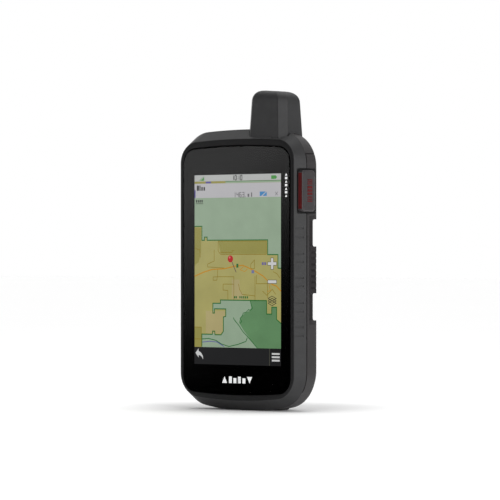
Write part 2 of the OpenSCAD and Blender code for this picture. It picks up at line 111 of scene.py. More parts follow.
def linear(value):
    value /= 255
    return value / 12.92 if value <= 0.04045 else ((value + 0.055) / 1.055) ** 2.4


def colour(r, g, b):
    """An sRGB colour, 0 to 255, as a linear RGBA tuple."""
    return (linear(r), linear(g), linear(b), 1.0)


class Nodes:
    """A material's node tree with short ways to add and link."""

    def __init__(self, name):
        self.material = bpy.data.materials.new(name)
        self.material.use_nodes = True
        self.tree = self.material.node_tree
        self.shader = self.tree.nodes["Principled BSDF"]
        self.output = self.tree.nodes["Material Output"]

    def add(self, kind, **values):
        node = self.tree.nodes.new(kind)
        for key, value in values.items():
            if key in node.inputs:
                node.inputs[key].default_value = value
            else:
                setattr(node, key, value)
        return node

    def link(self, source, target):
        self.tree.links.new(source, target)

    def noise(self, scale, detail=3.0, stretch=(1, 1, 1)):
        """Noise in object space. The scale is in patches per metre."""
        place = self.add("ShaderNodeTexCoord")
        shape = self.add("ShaderNodeMapping")
        shape.inputs["Scale"].default_value = stretch
        noise = self.add("ShaderNodeTexNoise", Scale=scale, Detail=detail)
        self.link(place.outputs["Object"], shape.inputs["Vector"])
        self.link(shape.outputs["Vector"], noise.inputs["Vector"])
        return noise.outputs["Fac"]

    def ramp(self, source, low, high):
        ramp = self.add("ShaderNodeValToRGB")
        for stop, position, shade in zip(ramp.color_ramp.elements, (0.3, 0.7), (low, high)):
            stop.position = position
            stop.color = shade
        self.link(source, ramp.inputs["Fac"])
        return ramp.outputs["Color"]

    def between(self, source, low, high):
        spread = self.add("ShaderNodeMapRange")
        spread.inputs["To Min"].default_value = low
        spread.inputs["To Max"].default_value = high
        self.link(source, spread.inputs["Value"])
        return spread.outputs["Result"]

    def bump(self, source, distance):
        bump = self.add("ShaderNodeBump", Distance=distance, Strength=1.0)
        self.link(source, bump.inputs["Height"])
        self.link(bump.outputs["Normal"], self.shader.inputs["Normal"])

    def glow(self, source):
        """Makes the surface shine in the source's colour, and do nothing else."""
        self.tree.nodes.remove(self.shader)
        glow = self.add("ShaderNodeEmission", Strength=1.0)
        self.link(source, glow.inputs["Color"])
        self.link(glow.outputs["Emission"], self.output.inputs["Surface"])


def grey_stops(ramp, first, last, *middle):
    """Grey stops of a colour ramp, from pairs of position and level."""
    stops = ramp.color_ramp.elements
    for stop, (position, level) in zip(stops, (first, last)):
        stop.position = position
        stop.color = (level, level, level, 1)
    for position, level in middle:
        stops.new(position).color = (level, level, level, 1)


def shades(base, spread):
    """The colour a little darker, and a little lighter."""
    return [tuple(min(1.0, c * size) for c in base[:3]) + (1.0,) for size in (1 - spread, 1 + spread)]


def grained(
    name, base, rough=0.5, grain=2500, depth=0.00003, spread=0.12, metal=0.0, stretch=(1, 1, 1), level=0.5
):
    """A surface with faint patches of colour and a fine moulded or brushed grain."""
    m = Nodes(name)
    m.link(m.ramp(m.noise(160), *shades(base, spread)), m.shader.inputs["Base Color"])
    fine = m.noise(grain, 2.0, stretch)
    m.link(m.between(fine, rough - 0.07, rough + 0.07), m.shader.inputs["Roughness"])
    m.shader.inputs["Metallic"].default_value = metal
    m.shader.inputs["Specular IOR Level"].default_value = level
    m.bump(fine, depth)
    return m.material


def glass_material():
    """Thin cover glass: clear straight through, with a clean reflection."""
    m = Nodes("cover_glass")
    m.tree.nodes.remove(m.shader)
    clear = m.add("ShaderNodeBsdfTransparent")
    clear.inputs["Color"].default_value = (0.985, 0.99, 0.99, 1)
    smear = m.noise(60, 4.0)
    gloss = m.add("ShaderNodeBsdfGlossy")
    m.link(m.between(smear, 0.02, 0.05), gloss.inputs["Roughness"])
    fresnel = m.add("ShaderNodeFresnel", IOR=1.5)
    side = m.add("ShaderNodeNewGeometry")
    outer = m.add("ShaderNodeMath", operation="SUBTRACT", use_clamp=True)
    m.link(fresnel.outputs["Fac"], outer.inputs[0])
    m.link(side.outputs["Backfacing"], outer.inputs[1])
    mix = m.add("ShaderNodeMixShader")
    m.link(outer.outputs["Value"], mix.inputs[0])
    m.link(clear.outputs["BSDF"], mix.inputs[1])
    m.link(gloss.outputs["BSDF"], mix.inputs[2])
    m.link(mix.outputs["Shader"], m.output.inputs["Surface"])
    return m.material


def lit(name, base, spread=0.05):
    """A patch of the lit picture, a little uneven as printed terrain shading is."""
    m = Nodes(name)
    m.glow(m.ramp(m.noise(70, 5.0), *shades(base, spread)))
    return m.material


def circuit_material():
    """Green board with copper tracks under the mask."""
    m = Nodes("circuit_board")
    place = m.add("ShaderNodeTexCoord")
    turn = m.add("ShaderNodeMapping")
    turn.inputs["Rotation"].default_value = (math.pi / 2, 0, 0)
    bricks = m.add("ShaderNodeTexBrick", Scale=420.0)
    bricks.inputs["Mortar Size"].default_value = 0.06
    bricks.inputs["Color1"].default_value = (0.012, 0.10, 0.045, 1)
    bricks.inputs["Color2"].default_value = (0.016, 0.13, 0.06, 1)
    bricks.inputs["Mortar"].default_value = (0.05, 0.22, 0.09, 1)
    m.link(place.outputs["Object"], turn.inputs["Vector"])
    m.link(turn.outputs["Vector"], bricks.inputs["Vector"])
    m.link(bricks.outputs["Color"], m.shader.inputs["Base Color"])
    m.link(m.between(m.noise(900), 0.25, 0.4), m.shader.inputs["Roughness"])
    m.bump(bricks.outputs["Fac"], 0.00003)
    return m.material


HOUSING = grained("housing_plastic", colour(44, 44, 45), rough=0.52, grain=2600, depth=0.00004)
# The rim's colour is darker than the housing's: painted shade for the front-facing rim.
RIM_PAINTED_SHADE = grained("bezel_painted_shade", colour(24, 24, 25), rough=0.5, grain=2600, depth=0.00003, level=0.22)
REAR = grained("rear_plastic", colour(42, 39, 40), rough=0.5, grain=2200, depth=0.00005, level=0.4)
# The grip panel's colour is darker than the rest of the rear shell: painted shade for that facet.
GRIP_PAINTED_SHADE = grained("grip_panel_painted_shade", colour(30, 26, 28), rough=0.55, grain=2200, depth=0.00005, level=0.28)
CAP = grained("cap_plastic", colour(52, 48, 50), rough=0.42, grain=3000, depth=0.00003)
DARK = grained("black_plastic", colour(14, 14, 15), rough=0.55, level=0.2)
RED = grained("red_plastic", colour(92, 14, 15), rough=0.55, grain=3000, depth=0.00002, level=0.25)
RUBBER = grained("black_rubber", colour(30, 30, 30), rough=0.72, grain=1800, depth=0.00005)
SILICONE = grained("rust_silicone", colour(140, 62, 42), rough=0.6, grain=1500, depth=0.00003)
STEEL = grained("stainless_steel", colour(186, 186, 190), 0.3, 900, 0.00001, 0.04, 1.0, (1, 1, 12))
BLACK_STEEL = grained("blackened_steel", colour(62, 62, 66), 0.42, 1200, 0.00001, 0.08, 1.0)
TIN = grained("tinned_steel", colour(190, 192, 194), 0.34, 700, 0.00001, 0.05, 1.0, (14, 1, 1))
ALLOY = grained("pressed_aluminium", colour(176, 178, 182), 0.36, 600, 0.00001, 0.05, 1.0)
GOLD = grained("gold_plate", colour(222, 178, 92), 0.26, 1500, 0.00001, 0.05, 1.0)
CHIP = grained("chip_package", colour(30, 30, 32), rough=0.6, grain=4000, depth=0.00002)
FLEX = grained("flex_film", colour(186, 112, 40), rough=0.35, grain=900, depth=0.00001)
CERAMIC = grained("ceramic_former", colour(214, 206, 186), rough=0.6, grain=1600, depth=0.00002)
CELL = grained("cell_wrap", colour(96, 118, 134), rough=0.36, grain=500, depth=0.00002)
LABEL = grained("blank_label", colour(150, 150, 150), rough=0.5, grain=3500, depth=0.00001, spread=0.04)
WHITE = grained("diffuser_white", colour(226, 226, 222), rough=0.6, grain=1200, depth=0.00001, spread=0.02)
MASK = grained("printed_black", colour(3, 3, 3), rough=0.4, grain=1500, depth=0.000002, level=0.0)
FOAM = grained("black_foam", colour(16, 16, 16), rough=0.9, grain=1500, depth=0.00005)
PRINT_GLOW = grained("white_print_painted_glow", colour(235, 235, 235), rough=0.5, grain=2500, depth=0.000005, spread=0.03)
PRINT_SHADER = PRINT_GLOW.node_tree.nodes["Principled BSDF"]
# The white print glows a little, though it is no lamp: painted light that keeps it bright.
PRINT_SHADER.inputs["Emission Color"].default_value = (1, 1, 1, 1)
PRINT_SHADER.inputs["Emission Strength"].default_value = 0.4
GLASS = glass_material()
CIRCUIT = circuit_material()


# Shapes


def arc(cx, cz, r, start, end, steps, skip):
    """Points of an arc, without the first ones that the skip leaves out."""
    spots = []
    for i in range(skip, steps + 1):
        a = start + (end - start) * i / steps
        spots.append((cx + r * math.cos(a), cz + r * math.sin(a)))
    return spots


def shield(half, low, top, low_r, top_r, low_arch=200.0, top_arch=450.0, arch=20, corner=20):
    """The rounded outline that the CAD source uses, with more points."""
    tx = half - top_r
    tz = top - top_arch + math.sqrt((top_arch - top_r) ** 2 - tx * tx)
    ta = math.atan2(tz - top + top_arch, tx)
    lx = half - low_r
    lz = low + low_arch - math.sqrt((low_arch - low_r) ** 2 - lx * lx)
    la = math.atan2(lz - low - low_arch, lx)
    right = arc(0, low + low_arch, low_arch, -math.pi / 2, la, arch, 0)
    right += arc(lx, lz, low_r, la, 0, corner, 1)
    right += arc(tx, tz, top_r, 0, ta, corner, 0)
    right += arc(0, top - top_arch, top_arch, ta, math.pi / 2, arch, 1)
    return right + [(-x, z) for x, z in reversed(right[1:-1])]


def box_outline(half, low, top, radius):
    """A rounded rectangle, its edges all but straight."""
    return shield(half, low, top, radius, radius, 4000.0, 4000.0)


def circle(x, z, r, sides):
    turns = [2 * math.pi * i / sides for i in range(sides)]
    return [(x + r * math.cos(a), z + r * math.sin(a)) for a in turns]


def mixed(a, b, t):
    return [(p[0] + (q[0] - p[0]) * t, p[1] + (q[1] - p[1]) * t) for p, q in zip(a, b)]


def shrunk(outline, distance):
    """The outline moved inwards along its normals."""
    n = len(outline)
    moved = []
    for i, (x, z) in enumerate(outline):
        ax, az = outline[i - 1]
        bx, bz = outline[(i + 1) % n]
        tx, tz = bx - ax, bz - az
        size = math.hypot(tx, tz) or 1.0
        moved.append((x - tz / size * distance, z + tx / size * distance))
    return moved


def at_depth(outline, y, flat_base=True):
    """The outline as a ring at one depth, cut off at the floor."""
    return [Vector((x, y, max(z, 0.0) if flat_base else z)) for x, z in outline]


def inset_rings(outline, *steps):
    """Rings of one outline, from pairs of inset and depth."""
    return [at_depth(shrunk(outline, inset), y) for inset, y in steps]


def mixed_rings(a, b, *steps):
    """Rings on the way from one outline to another, from pairs of share and depth."""
    return [at_depth(mixed(a, b, t), y) for t, y in steps]


def slope(a, a_y, b, b_y, *steps):
    """Rings between two outlines that lie at their own depths."""
    return mixed_rings(a, b, *[(t, a_y + (b_y - a_y) * t) for t in steps])


def add_object(name, bm, *materials):
    """Turns the shape into an object of the scene."""
    mesh = bpy.data.meshes.new(name)
    bm.to_mesh(mesh)
    bm.free()
    for material in filter(None, materials):
        mesh.materials.append(material)
    piece = bpy.data.objects.new(name, mesh)
    bpy.context.scene.collection.objects.link(piece)
    return piece


def soften(piece, angle=32.0):
    """Smooth shading that stays sharp at real edges."""
    for face in piece.data.polygons:
        face.use_smooth = True
    piece.data.set_sharp_from_angle(angle=math.radians(angle))
    normals = piece.modifiers.new("normals", "WEIGHTED_NORMAL")
    normals.weight = 100
    normals.keep_sharp = True


def loft(name, rings, material, closed=False):
    """Skin over rings of equal length. The ends are capped, or joined to each other when closed."""
    bm = bmesh.new()
    rows = [[bm.verts.new(p * MM) for p in ring] for ring in rings]
    count = len(rows[0])
    pairs = list(zip(rows, rows[1:]))
    if closed:
        pairs.append((rows[-1], rows[0]))
    for a, b in pairs:
        for i in range(count):
            j = (i + 1) % count
            bm.faces.new((a[i], a[j], b[j], b[i]))
    if not closed:
        bm.faces.new(rows[0][::-1])
        bm.faces.new(rows[-1])
    bmesh.ops.recalc_face_normals(bm, faces=bm.faces)
    return add_object(name, bm, material)


def between(name, ends, material=None, radius=0.0, segments=3):
    """A solid between two equal outlines, with rounded edges."""
    bm = bmesh.new()
    first, last = [[bm.verts.new(p * MM) for p in end] for end in ends]
    bm.faces.new(first)
    bm.faces.new(last[::-1])
    for i in range(len(first)):
        j = (i + 1) % len(first)
        bm.faces.new((first[j], first[i], last[i], last[j]))
    bmesh.ops.recalc_face_normals(bm, faces=bm.faces)
    if radius:
        edges = [e for e in bm.edges if e.calc_face_angle() > 0.5]
        bmesh.ops.bevel(
            bm, geom=edges, offset=radius * MM, segments=segments, profile=0.5, affect="EDGES"
        )
    return add_object(name, bm, material)


def prism(name, outline, y0, y1, material=None, radius=0.0, segments=3):
    """A flat outline in X and Z, thick from y0 to y1."""
    ends = [[Vector((x, y, z)) for x, z in outline] for y in (y0, y1)]
    return between(name, ends, material, radius, segments)


def block(name, x, y, z, material=None, radius=0.0, segments=3):
    """A box from pairs of limits."""
    outline = [(x[0], z[0]), (x[1], z[0]), (x[1], z[1]), (x[0], z[1])]
    return prism(name, outline, y[0], y[1], material, radius, segments)


def cutter(x, y, z, radius=0.0):
    """A box to cut with, or to add."""
    return block("tool", x, y, z, radius=radius)


def rod_y(x, z, r, y0, y1, radius=0.0):
    """A round tool along Y."""
    return prism("tool", circle(x, z, r, 64), y0, y1, radius=radius)


def along_z(outline, z0, z1, radius=0.0):
    """A tool with a flat outline in X and Y, tall from z0 to z1."""
    ends = [[Vector((x, y, z)) for x, y in outline] for z in (z1, z0)]
    return between("tool", ends, radius=radius)


def combine(piece, tool, operation):
    """Applies one exact boolean and removes the tool."""
    modifier = piece.modifiers.new("combine", "BOOLEAN")
    modifier.operation = operation
    modifier.solver = "EXACT"
    modifier.object = tool
    bpy.context.view_layer.update()
    shape = bpy.data.meshes.new_from_object(piece.evaluated_get(bpy.context.evaluated_depsgraph_get()))
    piece.modifiers.clear()
    old = piece.data
    piece.data = shape
    bpy.data.meshes.remove(old)
    bpy.data.objects.remove(tool)


def cut(piece, *tools):
    for tool in tools:
        combine(piece, tool, "DIFFERENCE")


def join(piece, other):
    """Adds the other mesh and its materials to the first."""
    bm = bmesh.new()
    bm.from_mesh(piece.data)
    count = len(bm.faces)
    bm.from_mesh(other.data)
    slots = piece.data.materials
    for material in other.data.materials:
        if material.name not in slots:
            slots.append(material)
    places = [slots.find(material.name) for material in other.data.materials]
    bm.faces.ensure_lookup_table()
    for face in bm.faces[count:]:
        face.material_index = places[face.material_index]
    bm.to_mesh(piece.data)
    bm.free()
    bpy.data.objects.remove(other)


def side_cutter(side, x, y, z, radius=0.0):
    """The same box on the right side or on the left."""
    low, high = sorted((side * x[0], side * x[1]))
    return cutter((low, high), y, z, radius=radius)


def fillet(outline, radius, steps=5):
    """Rounds each corner of a convex polygon."""
    rounded = []
    n = len(outline)
    for i in range(n):
        corner = Vector(outline[i])
        before = (Vector(outline[i - 1]) - corner).normalized()
        after = (Vector(outline[(i + 1) % n]) - corner).normalized()
        half = before.angle(after) / 2
        reach = radius / math.tan(half)
        centre = corner + (before + after).normalized() * (radius / math.sin(half))
        start = corner + before * reach - centre
        end = corner + after * reach - centre
        turn = start.angle_signed(end)
        for k in range(steps + 1):
            a = -turn * k / steps
            c, s = math.cos(a), math.sin(a)
            rounded.append((centre.x + c * start.x - s * start.y, centre.y + s * start.x + c * start.y))
    return rounded


def antenna_outline(inset, radius):
    """The eight-sided plan of the antenna. The facets narrow where the plan closes in at the top."""
    left, right = 4.6 + inset, 33.5 - inset
    front, back = -14.5 + inset, 6.8 - inset
    facet = 4.0 - 0.38 * max(0.0, inset - 1.45)
    corners = [
        (left + facet, front), (right - facet, front), (right, front + facet), (right, back - facet),
        (right - facet, back), (left + facet, back), (left, back - facet), (left, front + facet),
    ]
    return fillet(corners, radius)


def antenna_ring(z, inset, radius):
    """The plan at one height, with the sides leaning inwards towards the top."""
    lean = ANTENNA_LEAN * (z - SHELF_Z) / (ANTENNA_TOP - SHELF_Z)
    return [Vector((x, y, z)) for x, y in antenna_outline(lean + inset, radius)]


# Outlines of the case from front to back, and of the glass and the space inside
SEAM = shield(SEAM_HALF, -0.5, 160.1, 20, 20, 170)
RAIL = shield(45.3, -0.5, 158.5, 22, 19.5, 160)
BACK = shield(43.0, -0.5, 156.5, 20, 18, 160)
RIDGE = shield(RIDGE_HALF, 5.7, 154.4, 13.5, 12, 300)
RIM_TOP = shield(41.3, 7.0, 153.1, 12.3, 10.7, 300)
GLASS_EDGE = shield(40.3, 8.8, 150.8, 9, 9, 420, 450)
HOLLOW = shield(39.8, 4.4, 150, 12, 12, 300, 900)
OPENING = box_outline(34.6, 19.2, 140.8, 0.8)


def antenna_tool(gap):
    return loft("tool", [antenna_ring(z, -gap, 1.0) for z in (SHELF_Z, 190.0)], HOUSING)


def trench_tool():
    """The hollow beside the antenna's outer front corner."""
    tool = loft("tool", [antenna_ring(154.2, -1.6, 1.5), antenna_ring(190.0, -3.2, 1.5)], HOUSING)
    combine(tool, cutter((25, 60), (-30, -5), (150, 195)), "INTERSECT")
    return tool


def pod_tool(gap):
    """The place of the frame round the emergency cap, larger by the gap."""
    return cutter((39.8 - gap, 60), (-14.4 - gap, -0.3 + gap), (111.6 - gap, 137.1 + gap), radius=1.0)


def groove_tool(side, z):
    """A thin cut that follows the sloped side."""
    run, rise = SEAM_Y - RIDGE_Y, SEAM_HALF - RIDGE_HALF
    size = math.hypot(run, rise)
    dx, dy = rise / size, run / size
    outline = []
    for along, out in ((0.7, -GROOVE_DEPTH), (0.7, 1.5), (6.0, 1.5), (6.0, -GROOVE_DEPTH)):
        x = RIDGE_HALF + dx * along + dy * out
        y = RIDGE_Y + dy * along - dx * out
        outline.append((side * x, y))
    return along_z(outline, z - GROOVE_HALF, z + GROOVE_HALF)


def make_front():
    """The front shell: a pocket for the glass, a rounded rim and sloped sides with grooves. The rim is
    coloured darker than the sides: painted shade.
    """
    rings = inset_rings(GLASS_EDGE, (-0.14, -15), (-0.14, -16.2), (-0.3, -16.4), (-0.55, -16.47))
    rings += mixed_rings(RIM_TOP, RIDGE, (0.1, -16.46), (0.55, -16.36), (0.9, -16.14))
    rings += mixed_rings(RIDGE, SEAM, (0.02, -15.86))
    rings += slope(RIDGE, RIDGE_Y, SEAM, SEAM_Y, 0.08, 0.2, 0.35, 0.5, 0.65, 0.8, 0.92)
    rings += [
        at_depth(SEAM, SEAM_Y - 0.02),
        at_depth(HOLLOW, SEAM_Y - 0.02),
        at_depth(HOLLOW, -13.2),
        at_depth(OPENING, -13.2),
        at_depth(OPENING, -15.0),
    ]
    piece = loft("front_bezel", rings, HOUSING, closed=True)
    cut(piece, antenna_tool(0.12), trench_tool(), pod_tool(0.0))
    for z in GROOVES:
        cut(piece, groove_tool(1, z), groove_tool(-1, z))
    # The faces in front of the rim edge take the darker colour: painted shade.
    piece.data.materials.append(RIM_PAINTED_SHADE)
    for face in piece.data.polygons:
        if face.center.y < RIM_EDGE_Y * MM:
            face.material_index = 1
    soften(piece)
    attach(piece, "unit")
    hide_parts("front_housing")


def notch_tools(side):
    return [side_cutter(side, (41.0, 60), (-6.3, 12), notch, radius=1.0) for notch in NOTCHES]


def rail_tools(side):
    """Ribs on the rail between the notches, and the line down its front edge."""
    lows = [69.1 + i * 3.35 for i in range(7)]
    tools = [side_cutter(side, (44.5, 60), (-4.2, 6), (low, low + 1.2)) for low in lows]
    tools.append(side_cutter(side, (44.7, 60), (-6.35, -5.85), (62, 98)))
    return tools


def panel_line_tool(outline_front, outline_rear, y0, y1, depth, z0, z1):
    """A shell-shaped tool that cuts a given depth into the lofted side between two heights."""
    ends = ((outline_front, y0), (outline_rear, y1))
    core = loft("core", [at_depth(shrunk(outline, depth), y, False) for outline, y in ends], REAR)
    slab = cutter((-60, 60), (y0 + 0.01, y1 - 0.01), (z0, z1))
    combine(slab, core, "DIFFERENCE")
    return slab


def make_rear():
    """The rear shell: stepped sides, the seat of the battery pack, the speaker hump and the heel."""
    seat = box_outline(PACK_HALF + 0.3, PACK_LOW - 0.3, PACK_TOP + 0.3, 8.3)
    rings = slope(SEAM, SEAM_Y, RAIL, RAIL_Y, 0.0, 0.1, 0.3, 0.5, 0.7, 0.88)
    rings += mixed_rings(SEAM, RAIL, (0.985, 0.45))
    rings += mixed_rings(RAIL, BACK, (0.15, 0.95), (0.5, 1.65), (0.85, 2.32))
    rings += inset_rings(BACK, (0.3, 2.56), (0.8, BACK_Y))
    rings += [
        at_depth(box_outline(PACK_HALF + 0.5, PACK_LOW - 0.5, PACK_TOP + 0.5, 8.4), BACK_Y),
        at_depth(seat, BACK_Y - 0.25),
        at_depth(seat, 0.6),
    ]
    piece = loft("rear_shell", rings, REAR)
    combine(piece, hump(), "UNION")
    combine(piece, heel(), "UNION")
    hollow = prism("tool", HOLLOW, -20, -1.6)
    cut(piece, hollow, antenna_tool(0.12), trench_tool(), pod_tool(0.0))
    for side in (1, -1):
        cut(piece, *notch_tools(side), *rail_tools(side))
    cut(
        piece,
        panel_line_tool(mixed(SEAM, RAIL, 0.28), RAIL, -6.3, RAIL_Y + 0.6, 0.25, GRIP_LOW, GRIP_TOP),
        panel_line_tool(SEAM, mixed(SEAM, RAIL, 0.07), SEAM_Y, SEAM_Y + 0.75, 0.9, 11, 145.7),
        panel_line_tool(SEAM, RAIL, SEAM_Y, RAIL_Y + 1.0, 0.8, 145.0, 145.7),
    )
    for i in range(5):
        speaker_slot = (134.8 + i * 2.6, 136.0 + i * 2.6)
        cut(piece, cutter((-20, -8), (5, 12), speaker_slot, radius=0.4))
    speaker_room = cutter((-24, -4), (-3, 7.5), (132.5, 148.5))
    microphone = cutter((-28.6, -27.4), (-3, 12), (138.6, 141.4), radius=0.3)
    latch_hole = rod_y(0, LATCH_Z, 3.6, -4.1, 3)
    contacts = cutter((-11.1, 11.1), (-3, 3), (43.9, 50.1), radius=0.5)
    card_slot = cutter((8.9, 24.1), (-3, 3), (63.9, 83.1), radius=0.5)
    power_key = cutter((-60, -35), (-7.1, -2.9), (117.9, 132.1), radius=1.9)
    port_flap = cutter((-60, -43), (-8.4, -2.2), (20, 42), radius=0.5)
    port = cutter((-50, -38), (-7.3, -4.3), (27.9, 36.4), radius=0.4)
    cut(piece, speaker_room, microphone, latch_hole, contacts, card_slot, power_key, port_flap, port)
    for i in range(-2, 3):
        cut(piece, cutter((i * 6 - 1.5, i * 6 + 1.5), (9.2, 12), (5.4, 8.6), radius=0.3))
    for x in (-38.4, 38.4):
        for z in (24, 80, 143):
            cut(piece, rod_y(x, z, 2.25, 1.2, 5), rod_y(x, z, 1.15, -8, 5))
    # The grip panel's faces take the darker colour: painted shade.
    piece.data.materials.append(GRIP_PAINTED_SHADE)
    for face in piece.data.polygons:
        x, y, z = face.center / MM
        if abs(x) > 40.5 and -6.4 < y < 1.75 and GRIP_LOW - 0.01 < z < GRIP_TOP + 0.01:
            face.material_index = len(piece.data.materials) - 1
    soften(piece)
    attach(piece, "unit")
    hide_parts("rear_housing")


def hump():
    """The raised speaker housing across the top of the back."""
    rings = []
    for half, low, top, radius, y in (
        (34, 129, 152.3, 5, 0), (34, 129, 152.3, 5, 6.2), (33.8, 129.15, 152.0, 5, 6.8),
        (32.3, 130.1, 150.4, 4.2, 9.1), (31.7, 130.7, 149.8, 3.8, 9.5), (31.0, 131.4, 149.1, 3.2, 9.6),
    ):
        rings.append(at_depth(box_outline(half, low, top, radius), y))
    return loft("tool", rings, REAR)


def heel():
    """The foot under the pack that holds the dock contacts."""
    side = [(0, 0), (9, 0), (10.4, 1.4), (10.4, 10), (9, 11.4), (0, 11.4)]
    ends = [[Vector((x, y, z)) for y, z in side] for x in (-18, 18)]
    return between("tool", ends, REAR, 0.5, 2)


def side_ring(x, y, z, radius, steps=6):
    """A rounded rectangle in Y and Z at one X."""
    corners = [(y[0], z[0]), (y[0], z[1]), (y[1], z[1]), (y[1], z[0])]
    return [Vector((x, a, b)) for a, b in fillet(corners, radius, steps)]


def make_pod():
    """The frame round the emergency cap: a piece of both shells with the cap's recess in it."""
    rings = slope(RIDGE, RIDGE_Y, SEAM, SEAM_Y, 0.0, 0.35, 0.7, 1.0)
    rings += slope(SEAM, SEAM_Y, RAIL, RAIL_Y, 0.5, 1.0)
    piece = loft("emergency_frame", rings, DARK)
    combine(piece, pod_tool(-0.09), "INTERSECT")
    pivot_x, pivot_y = SOS_PIVOT
    height = (SOS_LOW - 0.2, SOS_TOP + 0.2)
    recess = [side_ring(x, (-14.25, -3.05), height, 1.7) for x in (43.5, 60)]
    cut(piece, loft("tool", recess, DARK))
    cut(piece, cutter((43.7, 60), (-4.1, -0.95), height, radius=0.3))
    knuckle = circle(pivot_x, pivot_y, 1.0, 48)
    for low, high in ((112.4, 115.9), (132.8, 136.3)):
        combine(piece, along_z(knuckle, low, high, radius=0.15), "UNION")
        combine(piece, cutter((43, pivot_x), (-1.5, -0.6), (low, high)), "UNION")
    bore = [(44.5, -8.15), (44.5, -5.85), (30, -5.85), (30, -8.15)]
    cut(piece, along_z(bore, 123.2, 125.5))
    soften(piece)
    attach(piece, "unit")
    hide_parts("sos_pod")


def make_glass():
    """The cover glass, with its rounded edge printed black."""
    front = ((0.62, -16.5), (0.36, -16.42), (0.15, -16.28), (0.03, -16.08))
    rings = inset_rings(GLASS_EDGE, *front, (0, -15.45), (0.04, -15.41))
    piece = loft("cover_glass", rings, GLASS)
    piece.data.materials.append(MASK)
    for face in piece.data.polygons:
        if abs(face.normal.y) < 0.99:
            face.material_index = 1
    soften(piece)
    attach(piece, "unit")
    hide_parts("lens_glass")


def make_antenna():
    """The antenna cap: faceted sides and a domed top that droops towards the outer side."""
    rings = [antenna_ring(z, 0.0, 1.2) for z in (SHELF_Z + 0.8, 160, 168, 174)]
    for z, inset, radius in (
        (176.6, 0.0, 1.3), (178.2, 0.22, 1.5), (179.5, 0.75, 1.8), (180.5, 1.5, 2.1),
        (181.25, 2.5, 2.2), (181.7, 3.6, 2.0), (181.93, 4.9, 1.8), (ANTENNA_TOP, 6.2, 1.6),
    ):
        rings.append(antenna_ring(z, inset, radius))
    for ring in rings:
        for spot in ring:
            spot.z -= 1.9 * max(0.0, (spot.x - 10) / 22) ** 2 * max(0.0, (spot.z - 172) / 10)
    piece = loft("antenna_cap", rings, HOUSING)
    inner = [antenna_ring(150, 2, 1.0), antenna_ring(176, 2, 1.0), antenna_ring(178, 3.2, 1.0)]
    cut(piece, loft("tool", inner, HOUSING))
    soften(piece, 40)
    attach(piece, "unit")
    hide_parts("antenna_cover")


def make_cap():
    """The hinged emergency cap, with the seat of its red inlay and the knuckle of its hinge."""
    rings = []
    for x, inset, radius in (
        (43.7, 0.1, 1.5), (43.8, 0.0, 1.6), (46.7, 0.0, 1.6), (46.95, 0.08, 1.6), (47.15, 0.3, 1.6),
        (47.3, 0.65, 1.6), (47.38, 1.1, 1.5), (SOS_FACE, 1.6, 1.3),
    ):
        side = inset * 0.6
        rings.append(side_ring(x, (-14 + inset, -3.2 - side), (SOS_LOW + side, SOS_TOP - side), radius))
    piece = loft("emergency_cap", rings, CAP)
    pivot_x, pivot_y = SOS_PIVOT
    combine(piece, along_z(circle(pivot_x, pivot_y, 1.0, 48), 116, 132.7, radius=0.1), "UNION")
    combine(piece, cutter((44.2, 46.2), (-3.5, pivot_y), (116, 132.7)), "UNION")
    cut(piece, cutter((43, 45.7), (-12.9, -4.2), (SOS_LOW + 1.2, SOS_TOP - 1.2)))
    cut(piece, cutter((44.1, 46.75), (-15, -13.8), (SOS_LOW + 1.5, SOS_TOP - 1.5), radius=0.3))
    soften(piece, 40)
    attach(piece, "sos_lid")
    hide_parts("sos_cap")


def make_cap_marks():
    """The red inlay, and raised marks: three short, three long, three short."""
    inlay = (SOS_LOW + 1.55, SOS_TOP - 1.55)
    piece = block("emergency_marks", (44.15, 46.7), (-14.04, -13.7), inlay, RED, 0.12, 2)
    low = SOS_LOW + 5.5
    for i in range(9):
        long = 3 <= i < 6
        high = low + (1.4 if long else 0.7)
        mark = block("mark", (SOS_FACE - 0.3, SOS_FACE + 0.14), (-9.8, -5.6), (low, high), RED, 0.1, 2)
        combine(piece, mark, "UNION")
        low = high + (0.8 if i in (2, 5) else 0.45)
    soften(piece)
    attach(piece, "sos_lid")
    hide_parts("sos_cap_marks")


def make_pack():
    """The shell of the battery pack, with the recess of its latch."""
    def ring(inset, y, radius):
        return at_depth(box_outline(PACK_HALF - inset, PACK_LOW + inset, PACK_TOP - inset, radius), y, False)

    rings = [
        ring(0.25, 0.8, 7.8), ring(0, 1.1, 8), ring(0, 8, 8), ring(0.1, 8.5, 7.9), ring(0.45, 9.1, 7.7),
        ring(5.1, 15.4, 6.1), ring(5.5, 15.9, 5.9), ring(6, 16.3, 5.6), ring(6.8, PACK_BACK, 5),
    ]
    piece = loft("battery_shell", rings, REAR)
    inner = [ring(1.0, 0.0, 7), ring(1.0, 2.2, 7), ring(2.0, 2.21, 6), ring(2.0, 8.0, 6), ring(6.4, 13.6, 5)]
    hollow = loft("tool", inner, REAR)
    combine(hollow, rod_y(0, LATCH_Z, 5, -1, 20), "DIFFERENCE")
    combine(hollow, rod_y(0, LATCH_Z, 11.6, 11.2, 20), "DIFFERENCE")
    cut(piece, hollow, rod_y(0, LATCH_Z, 9.6, 12.7, 30, radius=0.5))
    cut(piece, rod_y(0, LATCH_Z, 2.55, -5, 30), rod_y(0, LATCH_Z, 3.6, -5, 3.2))
    for i in range(6):
        cut(piece, cutter((-18, 18), (PACK_BACK - 0.7, 20), (96 + i * 3.6, 97.8 + i * 3.6), radius=0.5))
    cut(piece, cutter(LABEL_X, (PACK_BACK - 0.25, 20), LABEL_Z, radius=0.2))
    soften(piece)
    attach(piece, "pack")
    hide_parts("battery_cover")


